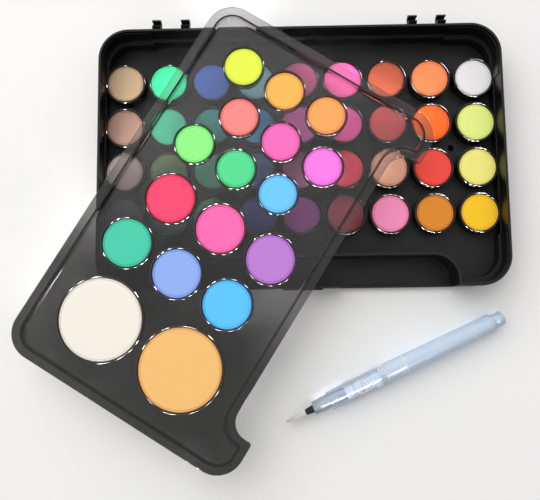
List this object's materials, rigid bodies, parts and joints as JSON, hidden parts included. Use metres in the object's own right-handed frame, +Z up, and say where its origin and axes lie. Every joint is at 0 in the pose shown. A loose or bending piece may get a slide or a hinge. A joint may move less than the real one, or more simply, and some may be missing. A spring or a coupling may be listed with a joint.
{
  "type": "watercolour paint set",
  "caption": "Black hinged-type paint box with round paint tablets, a smoky clear inner tray of more tablets laid across it, and a squeeze water brush.",
  "frame": {"origin": "middle of the box's flat underside, on the table", "axes": "+X to the right along the box's long side, +Y to the hinge hooks at the back, +Z up"},
  "size_m": [0.2868, 0.2688, 0.0305],
  "materials": {
    "black_plastic": "gloss",
    "smoky_plastic": "clear gloss",
    "hair": "matt",
    "ferrule_black": "satin",
    "nose_clear": "clear gloss",
    "grip_clear": "clear gloss",
    "plug_white": "satin",
    "barrel_frosted": "translucent satin",
    "paint_tan": "matt pressed powder",
    "paint_green": "matt pressed powder",
    "paint_royal_blue": "matt pressed powder",
    "paint_light_teal": "matt pressed powder",
    "paint_magenta": "matt pressed powder",
    "paint_pink": "matt pressed powder",
    "paint_burnt_orange": "matt pressed powder",
    "paint_peach_orange": "matt pressed powder",
    "paint_white": "matt pressed powder",
    "paint_taupe": "matt pressed powder",
    "paint_sea_green": "matt pressed powder",
    "paint_teal": "matt pressed powder",
    "paint_blue": "matt pressed powder",
    "paint_plum": "matt pressed powder",
    "paint_hot_pink": "matt pressed powder",
    "paint_brick_red": "matt pressed powder",
    "paint_orange": "matt pressed powder",
    "paint_lemon": "matt pressed powder",
    "paint_warm_grey": "matt pressed powder",
    "paint_olive": "matt pressed powder",
    "paint_bottle_green": "matt pressed powder",
    "paint_indigo": "matt pressed powder",
    "paint_mulberry": "matt pressed powder",
    "paint_crimson": "matt pressed powder",
    "paint_skin_pink": "matt pressed powder",
    "paint_coral_red": "matt pressed powder",
    "paint_light_yellow": "matt pressed powder",
    "paint_slate": "matt pressed powder",
    "paint_dark_teal": "matt pressed powder",
    "paint_leaf_green": "matt pressed powder",
    "paint_navy": "matt pressed powder",
    "paint_violet": "matt pressed powder",
    "paint_maroon": "matt pressed powder",
    "paint_rose_pink": "matt pressed powder",
    "paint_amber": "matt pressed powder",
    "paint_yellow": "matt pressed powder",
    "paint_yellow_to_peach": "matt pressed powder",
    "paint_coral_to_magenta": "matt pressed powder",
    "paint_greens_and_sky_blue": "matt pressed powder",
    "paint_red_pink": "matt pressed powder",
    "paint_bright_pink": "matt pressed powder",
    "paint_lilac": "matt pressed powder",
    "paint_aqua_green": "matt pressed powder",
    "paint_periwinkle": "matt pressed powder",
    "paint_sky_blue": "matt pressed powder",
    "paint_cream": "matt pressed powder",
    "paint_ochre": "matt pressed powder"
  },
  "bodies": {
    "root": {"base_box": "black_plastic", "box_tablet_row1_column1": "paint_tan", "box_tablet_row1_column2": "paint_green", "box_tablet_row1_column3": "paint_royal_blue", "box_tablet_row1_column4": "paint_light_teal", "box_tablet_row1_column5": "paint_magenta", "box_tablet_row1_column6": "paint_pink", "box_tablet_row1_column7": "paint_burnt_orange", "box_tablet_row1_column8": "paint_peach_orange", "box_tablet_row1_column9": "paint_white", "box_tablet_row2_column1": "paint_taupe", "box_tablet_row2_column2": "paint_sea_green", "box_tablet_row2_column3": "paint_teal", "box_tablet_row2_column4": "paint_blue", "box_tablet_row2_column5": "paint_plum", "box_tablet_row2_column6": "paint_hot_pink", "box_tablet_row2_column7": "paint_brick_red", "box_tablet_row2_column8": "paint_orange", "box_tablet_row2_column9": "paint_lemon", "box_tablet_row3_column1": "paint_warm_grey", "box_tablet_row3_column2": "paint_olive", "box_tablet_row3_column3": "paint_bottle_green", "box_tablet_row3_column4": "paint_indigo", "box_tablet_row3_column5": "paint_mulberry", "box_tablet_row3_column6": "paint_crimson", "box_tablet_row3_column7": "paint_skin_pink", "box_tablet_row3_column8": "paint_coral_red", "box_tablet_row3_column9": "paint_light_yellow", "box_tablet_row4_column1": "paint_slate", "box_tablet_row4_column2": "paint_dark_teal", "box_tablet_row4_column3": "paint_leaf_green", "box_tablet_row4_column4": "paint_navy", "box_tablet_row4_column5": "paint_violet", "box_tablet_row4_column6": "paint_maroon", "box_tablet_row4_column7": "paint_rose_pink", "box_tablet_row4_column8": "paint_amber", "box_tablet_row4_column9": "paint_yellow"},
    "tray": {"upper_tray": "smoky_plastic", "tray_small_tablets_row1": "paint_yellow_to_peach", "tray_small_tablets_row2": "paint_coral_to_magenta", "tray_small_tablets_row3": "paint_greens_and_sky_blue", "tray_medium_tablet_1": "paint_red_pink", "tray_medium_tablet_2": "paint_bright_pink", "tray_medium_tablet_3": "paint_lilac", "tray_medium_tablet_4": "paint_aqua_green", "tray_medium_tablet_5": "paint_periwinkle", "tray_medium_tablet_6": "paint_sky_blue", "tray_large_tablet_1": "paint_cream", "tray_large_tablet_2": "paint_ochre"},
    "brush_head": {"brush_grip": "grip_clear", "brush_nozzle": "nose_clear", "brush_ferrule": "ferrule_black", "brush_hairs": "hair", "brush_flow_plug": "plug_white"},
    "brush_seal": {"brush_seal_collar": "barrel_frosted"},
    "brush_barrel": {"brush_barrel": "barrel_frosted", "brush_end_plug": "barrel_frosted"}
  },
  "joints": [
    {"name": "tray_lift", "type": "slide", "parent": "root", "child": "tray", "axis": [0, 0, 1], "range_m": [0, 0.1]},
    {"name": "brush_lift", "type": "slide", "parent": "root", "child": "brush_head", "axis": [0, 0, 1], "range_m": [0, 0.08]},
    {"name": "thread_travel", "type": "slide", "parent": "brush_head", "child": "brush_seal", "axis": [0.9089, 0.4171, 0], "range_m": [0, 0.0101]},
    {"name": "barrel_unscrew", "type": "hinge", "parent": "brush_seal", "child": "brush_barrel", "pos_m": [0.04793, -0.13038, 0.0062], "axis": [0.9089, 0.4171, 0], "range_deg": [0, 1800]}
  ],
  "couplings": [
    {"joint": "thread_travel", "follows": "barrel_unscrew", "m_per_rad": 0.00031831}
  ]
}
